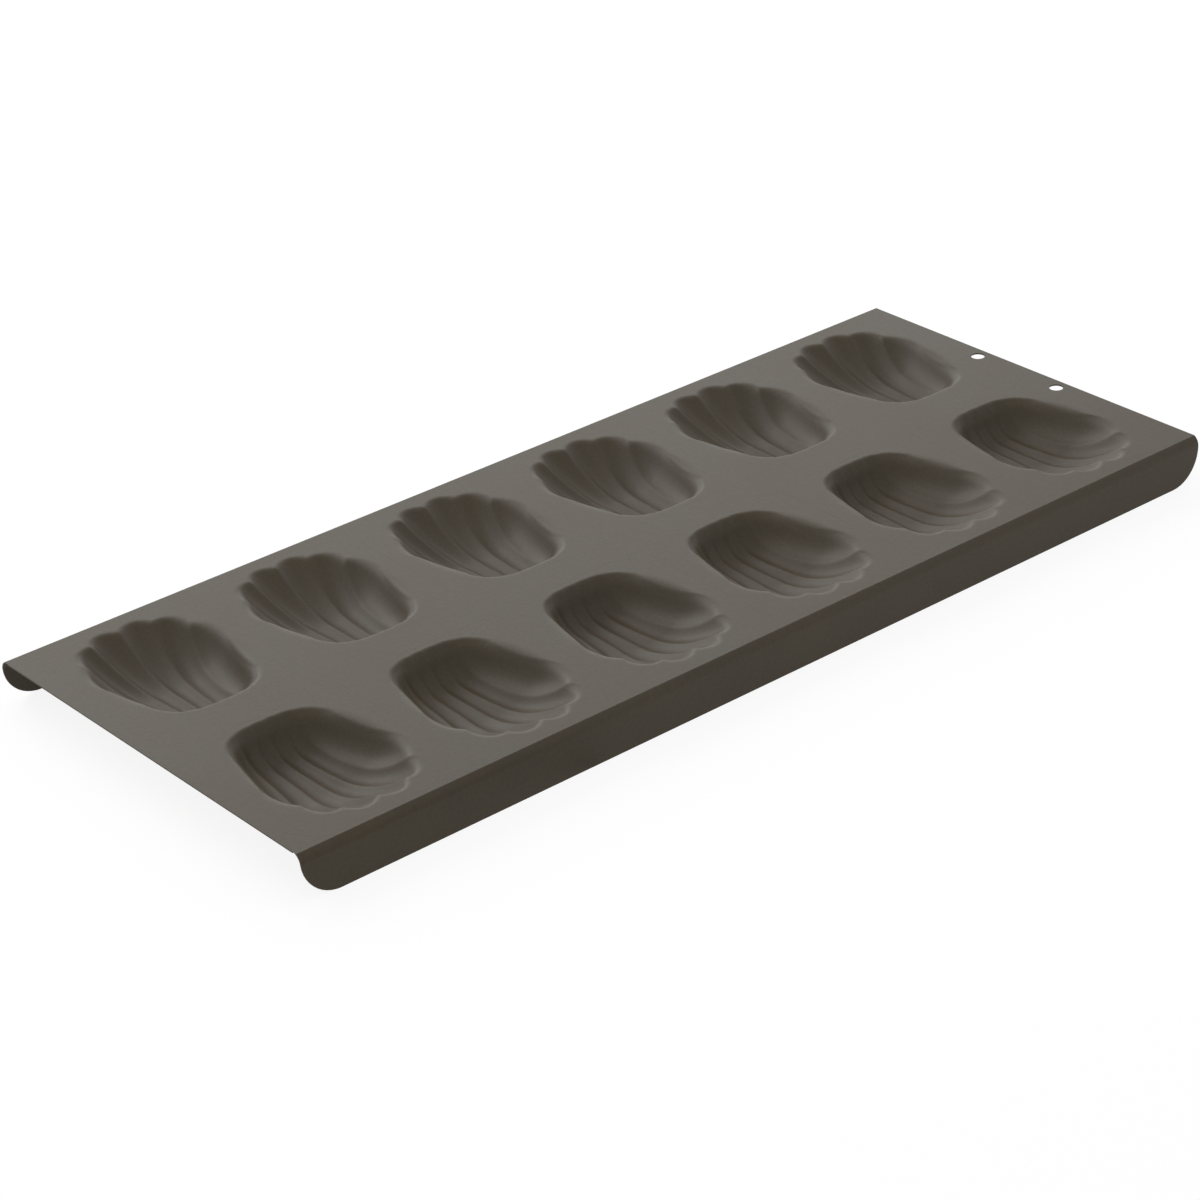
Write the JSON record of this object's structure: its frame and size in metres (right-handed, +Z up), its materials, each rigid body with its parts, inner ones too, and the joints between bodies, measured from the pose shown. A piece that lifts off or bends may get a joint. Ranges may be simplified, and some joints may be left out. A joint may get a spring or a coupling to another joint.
{
  "type": "madeleine pan",
  "caption": "Shallow sheet-steel madeleine pan with two rows of fluted shell cups, folded long sides and hanging holes at one end.",
  "frame": {"origin": "under the middle of the pan, on the plane that the lower edges of the two flanges rest on", "axes": "+X along the pan toward the end with the hanging holes, +Y across it toward the far row of cups, +Z up"},
  "size_m": [0.395, 0.1674, 0.0164],
  "materials": {
    "coated_steel": "satin"
  },
  "bodies": {
    "root": {"far_cup_1": "coated_steel", "far_cup_2": "coated_steel", "far_cup_3": "coated_steel", "far_cup_4": "coated_steel", "far_cup_5": "coated_steel", "far_cup_6": "coated_steel", "near_cup_1": "coated_steel", "near_cup_2": "coated_steel", "near_cup_3": "coated_steel", "near_cup_4": "coated_steel", "near_cup_5": "coated_steel", "near_cup_6": "coated_steel", "middle_land": "coated_steel", "plain_end": "coated_steel", "hanging_end": "coated_steel", "near_flange": "coated_steel", "far_flange": "coated_steel"}
  },
  "joints": []
}
